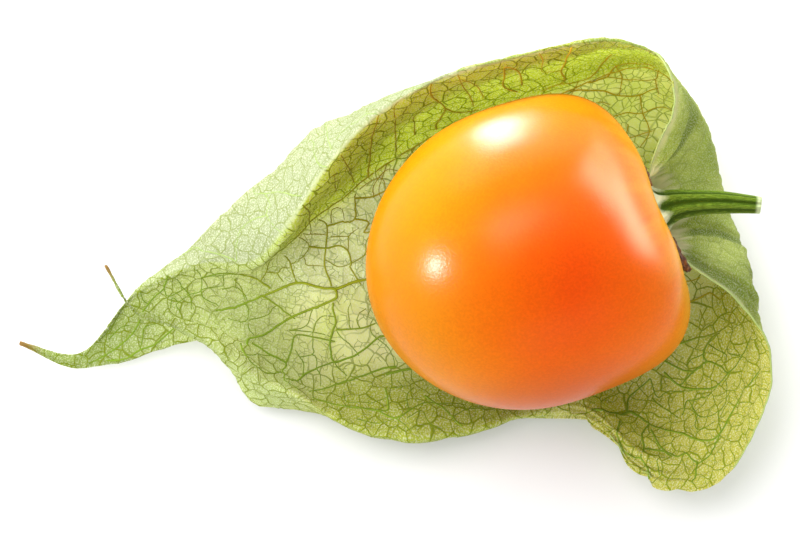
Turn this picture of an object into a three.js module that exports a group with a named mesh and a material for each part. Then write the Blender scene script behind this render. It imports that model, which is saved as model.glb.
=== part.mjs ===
// A ripe cape gooseberry (physalis) lying on its side in its torn-open papery husk, with its cut stem.
// Millimetres, +Z up. The husk's two long tips point to -X and the stem to +X. It rests on the husk's
// back, and the origin is under the middle of the whole, on the surface that it lies on.
import * as THREE from 'three';

const UP = new THREE.Vector3(0, 0, 1);

// Driving dimensions of the berry: one round body, with broader shoulders, a blunt far end and a
// dimple where the stem enters.
const BERRY_CENTRE = new THREE.Vector3(7.95, 0.5, 10.2);
const BERRY_RADIUS = 9.35;
const BERRY_AXIS_TURN = 20;
const SHOULDER = { height: 1.3, angle: 48, width: 24 };
const FAR_END = { height: 0.5, angle: 180, width: 40 };
const DIMPLE = { height: -1.5, angle: 0, width: 18 };
const BERRY_RINGS = 26;
const BERRY_SIDES = 40;

// The collar that the stem ends in, and around which the husk grows.
const COLLAR = { centre: new THREE.Vector3(16.3, 3.52, 10.2), radius: 1.45, turn: 20 };

// Driving dimensions of the husk: one thin sheet, laid over nine ribs.
const HUSK_THICKNESS = 0.4;
const HUSK_ROOT_RADIUS = COLLAR.radius + 0.6;
const CELLS_BETWEEN_RIBS = 3;
const CELLS_PER_STATION = 3;
// The husk's two lobes part here: past this station, between these two ribs, there is no sheet.
const SPLIT = { station: 13, afterRib: 5 };

// Driving dimensions of the stem, ringed from the nub in the berry's dimple to the cut end.
const STEM_SIDES = 20;
const STEM_RIDGES = 5;
const STEM_RIDGE_HEIGHT = 0.07;
const STEM_RINGS = [
  { centre: [15.95, 3.4, 10.2], radius: 0.7, turn: 20 },
  { centre: [16.22, 3.5, 10.2], radius: 0.95, turn: 20 },
  { centre: [16.3, 3.52, 10.2], radius: COLLAR.radius, turn: COLLAR.turn },
  { centre: [16.6, 3.64, 10.2], radius: 1.4, turn: 19 },
  { centre: [16.95, 3.76, 10.22], radius: 1.05, turn: 16 },
  { centre: [17.5, 3.9, 10.25], radius: 0.76, turn: 9 },
  { centre: [18.6, 4, 10.3], radius: 0.66, turn: 3 },
  { centre: [20.2, 4, 10.35], radius: 0.58, turn: -3 },
  { centre: [21.5, 3.92, 10.4], radius: 0.52, turn: -5 },
  { centre: [22.5, 3.83, 10.4], radius: 0.5, turn: -6 },
];

// The husk's ribs, each from beside the stem, over the husk's shoulder, under or beside the berry and
// out to a tip. Each has the same number of stations, so that ribs join station by station.
const UPPER_EDGE = [
  [16, 7.2, 12], [16.9, 9.5, 12.2], [16.8, 11.8, 12], [15.7, 13.4, 11], [13.1, 14.1, 10.4],
  [10.4, 13.7, 10.1], [7.4, 13, 9.7], [4.3, 12.3, 9], [1.6, 11.4, 7.9], [-1.8, 10.1, 6.3],
  [-4.6, 8.8, 4.8], [-7.3, 6.4, 3.6], [-10, 4.1, 2.8], [-13, 1.2, 2.3], [-16.3, -1.4, 2.1],
  [-19.8, -5.2, 1.8], [-23.3, -4.5, 2.7],
];
const UPPER_RIDGE = [
  [16.9, 7.2, 10.6], [17.9, 10.1, 10.4], [17.4, 11.7, 9.8], [15.8, 13, 10.8], [13.1, 13.5, 11.8],
  [10.3, 13.1, 12.1], [7.4, 12.5, 12], [4.4, 11.8, 11.7], [1.7, 10.9, 11], [-1.3, 9.2, 10],
  [-4.2, 6.2, 8.6], [-6.7, 2.5, 6.6], [-9, 0.3, 3.9], [-12.3, 0.2, 2.9], [-16.4, -1.7, 2.3],
  [-19.9, -5.5, 1.7], [-23.4, -4.6, 2.6],
];
const UPPER_CREASE = [
  [17.6, 7, 9.1], [19, 9, 8.4], [18.1, 10.8, 6], [16, 12.4, 6.8], [13.2, 12.2, 6],
  [10.3, 11.1, 5.2], [7.3, 10.2, 4.5], [4.4, 9.1, 3.9], [1.8, 7.9, 3.5], [-1.1, 6.1, 3.2],
  [-4, 3.9, 3], [-6.6, 1.7, 2.8], [-9.2, -0.2, 2.4], [-12.5, -0.5, 2.3], [-16.6, -2.2, 2],
  [-20, -5.7, 1.5], [-23.5, -4.7, 2.5],
];
const UPPER_BACK = [
  [18.4, 6.2, 7.8], [19.8, 6.7, 6.6], [19.3, 7.9, 3.2], [16.8, 9.4, 2.6], [13.7, 8.7, 2.2],
  [10.5, 7.4, 1.6], [7.4, 6.5, 1.2], [4.5, 5.4, 1.1], [1.7, 4.3, 1.3], [-1.2, 2.5, 1.8],
  [-4.1, 1.1, 2.1], [-6.9, -0.3, 2.1], [-9.6, -1, 1.9], [-12.9, -1.5, 1.8], [-16.7, -3, 1.6],
  [-20, -5.9, 1.4], [-23.5, -4.85, 2.5],
];
const MIDDLE_BACK = [
  [18.8, 4.7, 7.3], [20.3, 4.5, 5.6], [19.7, 4.9, 2.2], [17.2, 5.2, 0.9], [13.9, 4.3, 0.3],
  [10.6, 3.1, 0], [7.3, 2.1, 0], [4.2, 1, 0.1], [1.3, -0.2, 0.8], [-1.6, -1, 1.5],
  [-4.3, -1.2, 1.9], [-7.1, -1.4, 2.1], [-9.9, -2.2, 2], [-13.2, -2.7, 1.7], [-16.8, -3.9, 1.5],
  [-20, -6.2, 1.3], [-23.4, -5, 2.5],
];
const LOWER_BACK = [
  [19.1, 3.3, 7.4], [21.1, 2.6, 5.6], [20.3, 2.5, 2], [17.9, 1.1, 0.8], [14.4, -0.2, 0.1],
  [10.8, -1.1, 0], [7.3, -1.9, 0], [4.1, -2.6, 0.1], [1.1, -3.1, 0.8], [-2, -3.3, 1.4],
  [-4.9, -3.4, 1.8], [-7.6, -3.7, 2.1], [-10.6, -4.2, 2.2], [-13.9, -4.8, 1.7], [-17.1, -6, 1.4],
  [-20, -6.6, 1.2], [-23.3, -5.1, 2.5],
];
const LOWER_CREASE = [
  [19.3, 1.8, 8], [21.8, 1, 6.4], [20.9, -0.3, 2.4], [19.4, -3.9, 1.2], [17.5, -6.3, 0.6],
  [14.6, -7.4, 0.4], [11.4, -6.9, 0.3], [7.9, -6.7, 0.4], [4.4, -6.6, 0.7], [0.8, -6.2, 1.2],
  [-2.7, -6.8, 1.5], [-5.5, -7.5, 2.5], [-8.2, -5.8, 3], [-10.8, -4, 3.7], [-13.9, -3.1, 4.9],
  [-16.3, -2.4, 6.1], [-18.2, 0.1, 7],
];
const LOWER_RIDGE = [
  [18.9, 0.7, 9.3], [21.9, -1, 7.8], [22.2, -3.6, 4.8], [21.3, -8, 4.2], [18.9, -11.4, 3.6],
  [15.7, -11.6, 3], [12, -8.7, 2], [8.2, -9.1, 2.4], [4.2, -10.2, 3.2], [0.1, -10.5, 3.8],
  [-3.1, -9.7, 4], [-5.7, -8.3, 4.2], [-8.6, -7, 4.4], [-11, -5, 4.7], [-14, -3.6, 5.2],
  [-16.3, -2.7, 6.2], [-18, 0.2, 7.1],
];
const LOWER_EDGE = [
  [18.2, 0.2, 10.4], [21.1, -1.9, 9.4], [23.1, -5.1, 8.2], [22.9, -9, 7], [20.4, -13.3, 5],
  [16.1, -14.2, 3.4], [12.5, -10.2, 2.2], [8.2, -9.5, 2], [4.2, -10.5, 1.4], [0, -10.7, 1.2],
  [-3.2, -9.9, 1.2], [-6.1, -8.9, 1.4], [-8.9, -8.5, 1.8], [-10.8, -5.7, 3.2], [-13.9, -3.8, 4.7],
  [-16.2, -2.9, 6.1], [-17.8, 0.1, 7],
];
// Each rib springs from the collar at its own angle around it, in degrees up from the +Y side.
const RIBS = [
  { root: 38, points: UPPER_EDGE },
  { root: 14, points: UPPER_RIDGE },
  { root: -14, points: UPPER_CREASE },
  { root: -48, points: UPPER_BACK },
  { root: -85, points: MIDDLE_BACK },
  { root: -118, points: LOWER_BACK },
  { root: -150, points: LOWER_CREASE },
  { root: -180, points: LOWER_RIDGE },
  { root: -212, points: LOWER_EDGE },
];

// One named sub-part of the fruit.
function part(name, geometry, color, roughness) {
  geometry.computeVertexNormals();
  const material = new THREE.MeshStandardMaterial({ color, roughness, metalness: 0 });
  const mesh = new THREE.Mesh(geometry, material);
  mesh.name = name;
  return mesh;
}

// How far a smooth swelling (or dent) lifts the berry's skin at an angle from the stem, in degrees.
function swelling({ height, angle, width }, at) {
  return height * Math.exp(-(((at - angle) / width) ** 2));
}

// The berry's skin, turned about its own axis from the stem's dimple to the far end.
function berryGeometry() {
  const profile = [];
  for (let ring = 0; ring <= BERRY_RINGS; ring += 1) {
    const angle = 180 * (1 - ring / BERRY_RINGS);
    const swellings = [SHOULDER, FAR_END, DIMPLE].map((lift) => swelling(lift, angle));
    const reach = swellings.reduce((sum, height) => sum + height, BERRY_RADIUS);
    const turned = THREE.MathUtils.degToRad(angle);
    const fromAxis = ring === 0 || ring === BERRY_RINGS ? 0 : reach * Math.sin(turned);
    profile.push(new THREE.Vector2(fromAxis, reach * Math.cos(turned)));
  }
  return new THREE.LatheGeometry(profile, BERRY_SIDES);
}

// A smooth curve through points, sampled evenly from point to point.
function sampleCurve(points, samples) {
  const curve = new THREE.CatmullRomCurve3(points, false, 'catmullrom', 0.5);
  return curve.getPoints(samples);
}

// A point at an angle around a ring that stands across a heading turned in the ground plane.
function ringPoint(centre, radius, turn, angle) {
  const sideways = new THREE.Vector3(0, 1, 0).applyAxisAngle(UP, THREE.MathUtils.degToRad(turn));
  const around = THREE.MathUtils.degToRad(angle);
  const point = centre.clone().addScaledVector(sideways, radius * Math.cos(around));
  return point.addScaledVector(UP, radius * Math.sin(around));
}

// The husk's middle surface as a grid: rows run along the ribs, columns cross them.
function huskGrid() {
  const along = RIBS.map(({ root, points }) => {
    const start = ringPoint(COLLAR.centre, HUSK_ROOT_RADIUS, COLLAR.turn, root);
    const stations = [start, ...points.map((point) => new THREE.Vector3(...point))];
    return sampleCurve(stations, (stations.length - 1) * CELLS_PER_STATION);
  });
  const columns = along[0].map((_, column) => {
    const crossing = along.map((row) => row[column]);
    return sampleCurve(crossing, (RIBS.length - 1) * CELLS_BETWEEN_RIBS);
  });
  const grid = columns[0].map((_, row) => columns.map((column) => column[row].clone()));
  // The back lies flat on the surface under the berry.
  for (const point of grid.flat()) {
    point.z = Math.max(point.z, HUSK_THICKNESS / 2);
  }
  return grid;
}

// Whether the sheet is there between four neighbouring grid points.
function hasSheet(row, column) {
  const betweenLobes = Math.floor(row / CELLS_BETWEEN_RIBS) === SPLIT.afterRib;
  return !(betweenLobes && column >= SPLIT.station * CELLS_PER_STATION);
}

// A grid's normals, each from its neighbours along and across.
function gridNormals(grid) {
  const lastRow = grid.length - 1;
  const lastColumn = grid[0].length - 1;
  return grid.map((line, row) => line.map((_, column) => {
    const along = new THREE.Vector3().subVectors(
      line[Math.min(column + 1, lastColumn)],
      line[Math.max(column - 1, 0)],
    );
    const across = new THREE.Vector3().subVectors(
      grid[Math.min(row + 1, lastRow)][column],
      grid[Math.max(row - 1, 0)][column],
    );
    return across.cross(along).normalize();
  }));
}

// A closed thin sheet around a grid: an inner face, an outer face, and a wall along every free edge.
function huskGeometry() {
  const grid = huskGrid();
  const normals = gridNormals(grid);
  const columns = grid[0].length;
  const sideSize = grid.length * columns;
  const vertices = [];
  for (const side of [0.5, -0.5]) {
    grid.forEach((line, row) => line.forEach((point, column) => {
      const moved = point.clone().addScaledVector(normals[row][column], side * HUSK_THICKNESS);
      vertices.push(moved.x, moved.y, Math.max(moved.z, 0));
    }));
  }
  const triangles = [];
  const isCell = (row, column) => row >= 0 && column >= 0
    && row < grid.length - 1 && column < columns - 1 && hasSheet(row, column);
  const wall = (a, b) => {
    triangles.push(a, b, a + sideSize, b, b + sideSize, a + sideSize);
  };
  for (let row = 0; row < grid.length - 1; row += 1) {
    for (let column = 0; column < columns - 1; column += 1) {
      if (!isCell(row, column)) continue;
      const a = row * columns + column;
      const b = a + 1;
      const c = a + columns;
      const d = c + 1;
      triangles.push(a, c, b, b, c, d);
      triangles.push(a + sideSize, b + sideSize, c + sideSize);
      triangles.push(b + sideSize, d + sideSize, c + sideSize);
      if (!isCell(row - 1, column)) wall(a, b);
      if (!isCell(row, column + 1)) wall(b, d);
      if (!isCell(row + 1, column)) wall(d, c);
      if (!isCell(row, column - 1)) wall(c, a);
    }
  }
  return closedGeometry(vertices, triangles);
}

// A geometry from shared vertices, without those that no triangle uses.
function closedGeometry(vertices, triangles) {
  const places = new Map();
  const kept = [];
  const index = triangles.map((vertex) => {
    if (!places.has(vertex)) {
      places.set(vertex, places.size);
      kept.push(...vertices.slice(vertex * 3, vertex * 3 + 3));
    }
    return places.get(vertex);
  });
  const geometry = new THREE.BufferGeometry();
  geometry.setAttribute('position', new THREE.Float32BufferAttribute(kept, 3));
  geometry.setIndex(index);
  return geometry;
}

// The stem: a ridged stalk, lofted through its rings, that flares into the collar at the berry.
function stemGeometry() {
  const vertices = [];
  const triangles = [];
  for (const { centre, radius, turn } of STEM_RINGS) {
    for (let side = 0; side < STEM_SIDES; side += 1) {
      const angle = (360 * side) / STEM_SIDES;
      const ridge = Math.cos(STEM_RIDGES * THREE.MathUtils.degToRad(angle));
      const reach = radius * (1 + STEM_RIDGE_HEIGHT * ridge);
      vertices.push(...ringPoint(new THREE.Vector3(...centre), reach, turn, angle));
    }
  }
  const rings = STEM_RINGS.length;
  for (let ring = 0; ring < rings - 1; ring += 1) {
    for (let side = 0; side < STEM_SIDES; side += 1) {
      const a = ring * STEM_SIDES + side;
      const b = ring * STEM_SIDES + ((side + 1) % STEM_SIDES);
      triangles.push(a, b, a + STEM_SIDES, b, b + STEM_SIDES, a + STEM_SIDES);
    }
  }
  const nub = vertices.length / 3;
  vertices.push(...STEM_RINGS[0].centre);
  const cut = nub + 1;
  vertices.push(...STEM_RINGS[rings - 1].centre);
  const lastRing = (rings - 1) * STEM_SIDES;
  for (let side = 0; side < STEM_SIDES; side += 1) {
    const next = (side + 1) % STEM_SIDES;
    triangles.push(nub, next, side);
    triangles.push(cut, lastRing + side, lastRing + next);
  }
  return closedGeometry(vertices, triangles);
}

const berry = part('berry', berryGeometry(), 0xf58a12, 0.25);
// The lathe turns about +Y: the berry's axis is turned down to +X, and then towards the stem.
berry.rotation.z = THREE.MathUtils.degToRad(BERRY_AXIS_TURN - 90);
berry.position.copy(BERRY_CENTRE);

const husk = part('husk', huskGeometry(), 0xaab45a, 0.8);
const stem = part('stem', stemGeometry(), 0x5f7f24, 0.7);

const physalis = new THREE.Group();
physalis.add(berry, husk, stem);

export default physalis;
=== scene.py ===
import math

import bpy
import numpy as np
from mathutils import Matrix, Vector, noise


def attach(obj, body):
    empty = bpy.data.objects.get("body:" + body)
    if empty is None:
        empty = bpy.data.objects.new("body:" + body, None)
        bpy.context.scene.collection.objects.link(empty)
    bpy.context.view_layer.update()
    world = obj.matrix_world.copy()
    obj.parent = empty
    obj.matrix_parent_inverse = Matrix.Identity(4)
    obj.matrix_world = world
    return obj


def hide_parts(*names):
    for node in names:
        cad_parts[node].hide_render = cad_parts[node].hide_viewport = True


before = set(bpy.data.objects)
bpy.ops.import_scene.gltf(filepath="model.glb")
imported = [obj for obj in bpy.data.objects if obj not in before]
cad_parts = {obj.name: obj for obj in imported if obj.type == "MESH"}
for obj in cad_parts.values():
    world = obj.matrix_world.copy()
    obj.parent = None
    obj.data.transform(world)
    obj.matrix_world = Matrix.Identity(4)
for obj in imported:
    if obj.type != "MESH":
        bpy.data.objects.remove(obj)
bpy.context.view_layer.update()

bpy.ops.object.select_all(action="DESELECT")

# ------------------------------------------------------------
# Husk. The flower's calyx, grown into a lantern of one thin dry leaf around the berry. Nine ribs
# spring from the collar at the stem, turn over the husk's shoulder, pass under or beside the
# berry and end in two tips. It has torn open along one side, so the berry lies in it as in a boat.
MM = 0.001
COLLAR_CENTRE = (15.95, 3.4, 10.15)
COLLAR_TURN = math.radians(20)
ROOT_RADIUS = 2.2
HUSK_THICKNESS = 0.08

# Each rib: its angle around the collar, in degrees up from the +Y side, and its stations in mm.
UPPER_EDGE = (38, [
    (16, 7.2, 12), (16.9, 9.5, 12.2), (16.8, 11.8, 12), (15.7, 13.4, 11), (13.1, 14.1, 10.4),
    (10.4, 13.7, 10.1), (7.4, 13, 9.7), (4.3, 12.3, 9), (1.6, 11.4, 7.9), (-1.8, 10.1, 6.3),
    (-4.6, 8.8, 4.8), (-7.3, 6.4, 3.6), (-10, 4.1, 2.8), (-13, 1.2, 2.3), (-16.3, -1.4, 2.1),
    (-19.8, -5.2, 1.8), (-23.55, -4.5, 2.7),
])
UPPER_RIDGE = (14, [
    (16.9, 7.2, 10.6), (17.9, 10.1, 10.4), (17.4, 11.7, 9.8), (15.8, 13.2, 10.9), (13.1, 13.85, 11.8),
    (10.3, 13.45, 12.1), (7.4, 12.8, 12), (4.4, 12.05, 11.7), (1.7, 11.0, 11), (-1.3, 9.2, 10),
    (-4.2, 6.2, 8.6), (-6.7, 2.5, 6.6), (-9, 0.3, 3.9), (-12.3, 0.2, 2.9), (-16.4, -1.7, 2.3),
    (-19.9, -5.5, 1.7), (-23.6, -4.6, 2.6),
])
UPPER_CREASE = (-14, [
    (17.6, 7, 9.1), (19, 9, 8.4), (18.1, 10.8, 6), (16, 12.4, 6.8), (13.2, 12.2, 6),
    (10.3, 11.1, 5.2), (7.3, 10.2, 4.5), (4.4, 9.1, 3.9), (1.8, 7.9, 3.5), (-1.1, 6.1, 3.2),
    (-4, 3.9, 3), (-6.6, 1.7, 2.8), (-9.2, -0.2, 2.4), (-12.5, -0.5, 2.3), (-16.6, -2.2, 2),
    (-20, -5.7, 1.5), (-23.65, -4.7, 2.5),
])
UPPER_BACK = (-48, [
    (18.4, 6.2, 7.8), (19.8, 6.7, 6.6), (19.3, 7.9, 3.2), (16.8, 9.4, 2.6), (13.7, 8.7, 2.2),
    (10.5, 7.4, 1.6), (7.4, 6.5, 1.2), (4.5, 5.4, 1.1), (1.7, 4.3, 1.3), (-1.2, 2.5, 1.8),
    (-4.1, 1.1, 2.1), (-6.9, -0.3, 2.1), (-9.6, -1, 1.9), (-12.9, -1.5, 1.8), (-16.7, -3, 1.6),
    (-20, -5.9, 1.4), (-23.65, -4.85, 2.5),
])
MIDDLE_BACK = (-85, [
    (18.8, 4.7, 7.3), (20.3, 4.5, 5.6), (19.7, 4.9, 2.2), (17.2, 5.2, 0.9), (13.9, 4.3, 0.3),
    (10.6, 3.1, 0), (7.3, 2.1, 0), (4.2, 1, 0.1), (1.3, -0.2, 0.8), (-1.6, -1, 1.5),
    (-4.3, -1.2, 1.9), (-7.1, -1.4, 2.1), (-9.9, -2.2, 2), (-13.2, -2.7, 1.7), (-16.8, -3.9, 1.5),
    (-20, -6.2, 1.3), (-23.6, -5, 2.5),
])
LOWER_BACK = (-118, [
    (19.1, 3.3, 7.4), (21.1, 2.6, 5.6), (20.3, 2.5, 2), (17.9, 1.1, 0.8), (14.4, -0.2, 0.1),
    (10.8, -1.1, 0), (7.3, -1.9, 0), (4.1, -2.6, 0.1), (1.1, -3.1, 0.8), (-2, -3.3, 1.4),
    (-4.9, -3.4, 1.8), (-7.6, -3.7, 2.1), (-10.6, -4.2, 2.2), (-13.9, -4.8, 1.7), (-17.1, -6, 1.4),
    (-20, -6.6, 1.2), (-23.55, -5.1, 2.5),
])
LOWER_CREASE = (-150, [
    (19.3, 1.8, 8), (21.8, 1, 6.4), (20.9, -0.3, 2.4), (19.4, -3.9, 1.2), (17.5, -6.3, 0.6),
    (14.6, -7.4, 0.4), (11.4, -6.9, 0.3), (7.9, -6.7, 0.4), (4.4, -6.6, 0.7), (0.8, -6.2, 1.2),
    (-2.7, -6.8, 1.5), (-5.5, -7.5, 2.5), (-8.2, -5.8, 3), (-10.8, -4, 3.7), (-13.9, -3.1, 4.9),
    (-16.3, -2.4, 6.1), (-18.2, 0.1, 7),
])
LOWER_RIDGE = (-180, [
    (18.9, 0.7, 9.3), (21.9, -1, 7.8), (22.2, -3.6, 4.8), (21.3, -8, 4.2), (18.9, -11.4, 3.6),
    (15.7, -11.6, 3), (12, -8.7, 2), (8.2, -9.1, 2.4), (4.2, -10.2, 3.2), (0.1, -10.5, 3.8),
    (-3.1, -9.7, 4), (-5.7, -8.3, 4.2), (-8.6, -7, 4.4), (-11, -5, 4.7), (-14, -3.6, 5.2),
    (-16.3, -2.7, 6.2), (-18, 0.2, 7.1),
])
LOWER_EDGE = (-212, [
    (18.2, 0.2, 10.4), (21.1, -1.9, 9.4), (23.1, -5.1, 8.2), (22.9, -9, 7), (20, -13.5, 5),
    (15.9, -13.7, 3.4), (12.5, -10.2, 2.2), (8.2, -9.5, 2), (4.2, -10.5, 1.4), (0, -10.7, 1.2),
    (-3.2, -9.9, 1.2), (-6.1, -8.9, 1.4), (-8.9, -8.5, 1.8), (-10.8, -5.7, 3.2),
    (-13.9, -3.8, 4.7), (-16.2, -2.9, 6.1), (-17.8, 0.1, 7),
])
RIBS = [UPPER_EDGE, UPPER_RIDGE, UPPER_CREASE, UPPER_BACK, MIDDLE_BACK,
        LOWER_BACK, LOWER_CREASE, LOWER_RIDGE, LOWER_EDGE]
LAST_RIB = len(RIBS) - 1
LAST_STATION = len(UPPER_EDGE[1])
# The two lobes part here: past this station, between these two ribs, there is no leaf.
SPLIT_STATION, SPLIT_RIB = 13, 5


def on_curve(points, place):
    """Points on smooth curves through points numbered 0, 1, 2..., one for each place."""
    ends = [2 * points[0] - points[1], *points, 2 * points[-1] - points[-2]]
    through = np.array(ends, float)
    step = np.clip(np.floor(place).astype(int), 0, len(points) - 2)
    along = (place - step)[:, None]
    if through.ndim == 2:
        a, b, c, d = (through[step + k] for k in range(4))
    else:
        each = np.arange(len(place))
        a, b, c, d = (through[step + k, each] for k in range(4))
    bend = (-a + 3 * b - 3 * c + d) * along + (2 * a - 5 * b + 4 * c - d)
    return 0.5 * ((bend * along + (c - a)) * along + 2 * b)


def smooth(low, high, value):
    """0 below low, 1 above high, and a smooth step between."""
    part = np.clip((value - low) / (high - low), 0, 1)
    return part * part * (3 - 2 * part)


def husk_point(rib, station):
    """The leaf's middle surface in mm, at places counted in ribs across and stations along."""
    sideways = np.array((-math.sin(COLLAR_TURN), math.cos(COLLAR_TURN), 0))
    crossing = []
    for root, points in RIBS:
        angle = math.radians(root)
        start = np.array(COLLAR_CENTRE) + ROOT_RADIUS * math.cos(angle) * sideways
        start[2] += ROOT_RADIUS * math.sin(angle)
        crossing.append(on_curve(np.array([start, *points], float), station))
    crossing = np.array(crossing)
    # Towards the tips the ribs draw together, and each lobe is a curve of its own.
    spread = (1 - 0.3 * smooth(15, 16, station) - 0.4 * smooth(16.3, 17.2, station))[:, None]
    for lobe in (crossing[:SPLIT_RIB + 1], crossing[SPLIT_RIB + 1:]):
        middle = lobe.mean(axis=0)
        lobe[:] = middle + (lobe - middle) * spread
    first = on_curve(crossing[:SPLIT_RIB + 1], np.clip(rib, None, SPLIT_RIB))
    second = on_curve(crossing[SPLIT_RIB + 1:], np.clip(rib - SPLIT_RIB - 1, 0, None))
    lobes = first + (second - first) * np.clip(rib - SPLIT_RIB, 0, 1)[:, None]
    parted = smooth(11.5, 13, station)[:, None]
    place = on_curve(crossing, rib) * (1 - parted) + lobes * parted
    place[:, 2] = np.maximum(place[:, 2], HUSK_THICKNESS)
    return place


def torn(seed, station, knots_per_station, depth):
    """A ragged edge: straight runs between uneven points, the same on every run."""
    knots = np.arange(0, LAST_STATION + 1, 1 / knots_per_station)
    reach = np.random.default_rng(seed).uniform(-1, 1, len(knots))
    return np.interp(station, knots, reach) * depth


def apply_all(piece):
    """Applies a piece's modifiers."""
    bpy.context.view_layer.objects.active = piece
    for modifier in list(piece.modifiers):
        bpy.ops.object.modifier_apply(modifier=modifier.name)


def places(mesh):
    """A mesh's points as an array."""
    flat = np.empty(len(mesh.vertices) * 3)
    mesh.vertices.foreach_get("co", flat)
    return flat.reshape(-1, 3)


# The leaf starts as a flat grid, a station long and a rib wide to each step, and is then laid
# over the ribs. Laid coarsely first, it is unwrapped, which gives the veins a map in true mm.
COARSE_PER_STATION = 4
COARSE_PER_RIB = 5
FINE_CUTS = 3
bpy.ops.mesh.primitive_grid_add(
    x_subdivisions=LAST_STATION * COARSE_PER_STATION, y_subdivisions=LAST_RIB * COARSE_PER_RIB,
    size=1)
husk = bpy.context.object
husk.name = husk.data.name = "husk_leaf"
husk.data.uv_layers[0].name = "vein_map"
grid = places(husk.data)
grid[:, 0] = (grid[:, 0] + 0.5) * LAST_STATION
grid[:, 1] = (grid[:, 1] + 0.5) * LAST_RIB
husk.data.vertices.foreach_set("co", grid.ravel())
bpy.ops.object.mode_set(mode="EDIT")
bpy.ops.mesh.select_mode(type="FACE")
bpy.ops.mesh.select_all(action="DESELECT")
bpy.ops.object.mode_set(mode="OBJECT")
for face in husk.data.polygons:
    along, across = face.center[0], face.center[1]
    face.select = along > SPLIT_STATION and int(across) == SPLIT_RIB
bpy.ops.object.mode_set(mode="EDIT")
bpy.ops.mesh.delete(type="FACE")
bpy.ops.object.mode_set(mode="OBJECT")

grid = places(husk.data)
husk.data.vertices.foreach_set("co", husk_point(grid[:, 1], grid[:, 0]).ravel())
bpy.ops.object.mode_set(mode="EDIT")
bpy.ops.mesh.select_all(action="SELECT")
bpy.ops.uv.unwrap(method="ANGLE_BASED", margin=0)
bpy.ops.object.mode_set(mode="OBJECT")
leaf_area = sum(face.area for face in husk.data.polygons)
uv = np.empty(len(husk.data.loops) * 2)
husk.data.uv_layers["vein_map"].data.foreach_get("uv", uv)
uv = uv.reshape(-1, 2)
map_area = 0
for face in husk.data.polygons:
    x, y = uv[list(face.loop_indices)].T
    map_area += abs(np.dot(x, np.roll(y, 1)) - np.dot(y, np.roll(x, 1))) / 2
uv *= math.sqrt(leaf_area / map_area)
husk.data.uv_layers["vein_map"].data.foreach_set("uv", uv.ravel())

husk.data.vertices.foreach_set("co", grid.ravel())
bpy.ops.object.mode_set(mode="EDIT")
bpy.ops.mesh.select_all(action="SELECT")
bpy.ops.mesh.subdivide(number_cuts=FINE_CUTS)
bpy.ops.object.mode_set(mode="OBJECT")
grid = places(husk.data)
station, rib = grid[:, 0].copy(), grid[:, 1].copy()

# The edges are ragged: finely all round, and in steps, (station, depth in ribs), where the lower
# flap tore.
TEAR = [(5.4, 0), (5.55, 0.12), (5.7, 0.03), (5.93, 0), (6, 0.3), (6.3, 0.06), (6.42, 0.03), (6.5, 0.42),
        (6.75, 0.2), (7, 0.04), (7.06, 0.36), (7.4, 0.14), (7.7, 0)]
EDGE_REACH = 0.6
upper_edge = (1 - smooth(0, EDGE_REACH, rib)) * smooth(1, 3, station) * (1 - smooth(15, 16.5, station))
lower_edge = smooth(LAST_RIB - EDGE_REACH, LAST_RIB, rib) * (1 - smooth(15, 16.5, station))
edge_rib = rib + upper_edge * torn(3, station, 6, 0.025)
edge_rib -= lower_edge * (torn(4, station, 5, 0.025) + np.interp(station, *np.array(TEAR).T))
leaf = husk_point(edge_rib, station)

# The leaf is never flat: it buckles softly all over, and wrinkles along the ribs where it is
# rolled at the lower flap and gathered at the collar.
STEP = 0.02
PAST_EDGE = 0.3
across = husk_point(np.minimum(edge_rib + STEP, LAST_RIB + PAST_EDGE), station) - leaf
along = husk_point(edge_rib, np.minimum(station + STEP, LAST_STATION))
along -= husk_point(edge_rib, station - STEP)
normal = np.cross(along, across)
normal /= np.maximum(np.linalg.norm(normal, axis=1), 1e-9)[:, None]
gathered = 1 - smooth(1.2, 3.5, station)
rolled = smooth(5.8, 6.6, rib) * smooth(1.5, 2.5, station) * (1 - smooth(6, 8, station))
# Noise: buckles to each mm of leaf; wrinkles and folds to each rib across and station along.
BUCKLES, SMALL_BUCKLES = 0.28, 0.7
WRINKLES = (5, 0.5, 3.1)
FOLDS = (1.7, 0.35, 7.4)
buckle = np.array([noise.noise(Vector(point) * BUCKLES) + 0.4 * noise.noise(Vector(point) * SMALL_BUCKLES)
                   for point in leaf])
wrinkle, fold = (
    np.array([noise.noise(Vector((a * across_rib, b * along_rib, slice_at))) for a, b in zip(rib, station)])
    for across_rib, along_rib, slice_at in (WRINKLES, FOLDS))
lobes = smooth(8, 11, station)
narrow = smooth(14, 16, station)
uneven = buckle * (0.16 + 0.1 * lobes) + wrinkle * (0.08 * gathered + 0.3 * rolled + 0.05)
uneven += fold * 0.24 * gathered
leaf += normal * (uneven * (1 - narrow) * smooth(0, 0.4, station))[:, None]
leaf[:, 2] = np.maximum(leaf[:, 2], HUSK_THICKNESS / 2)
husk.data.vertices.foreach_set("co", (leaf * MM).ravel())

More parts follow.
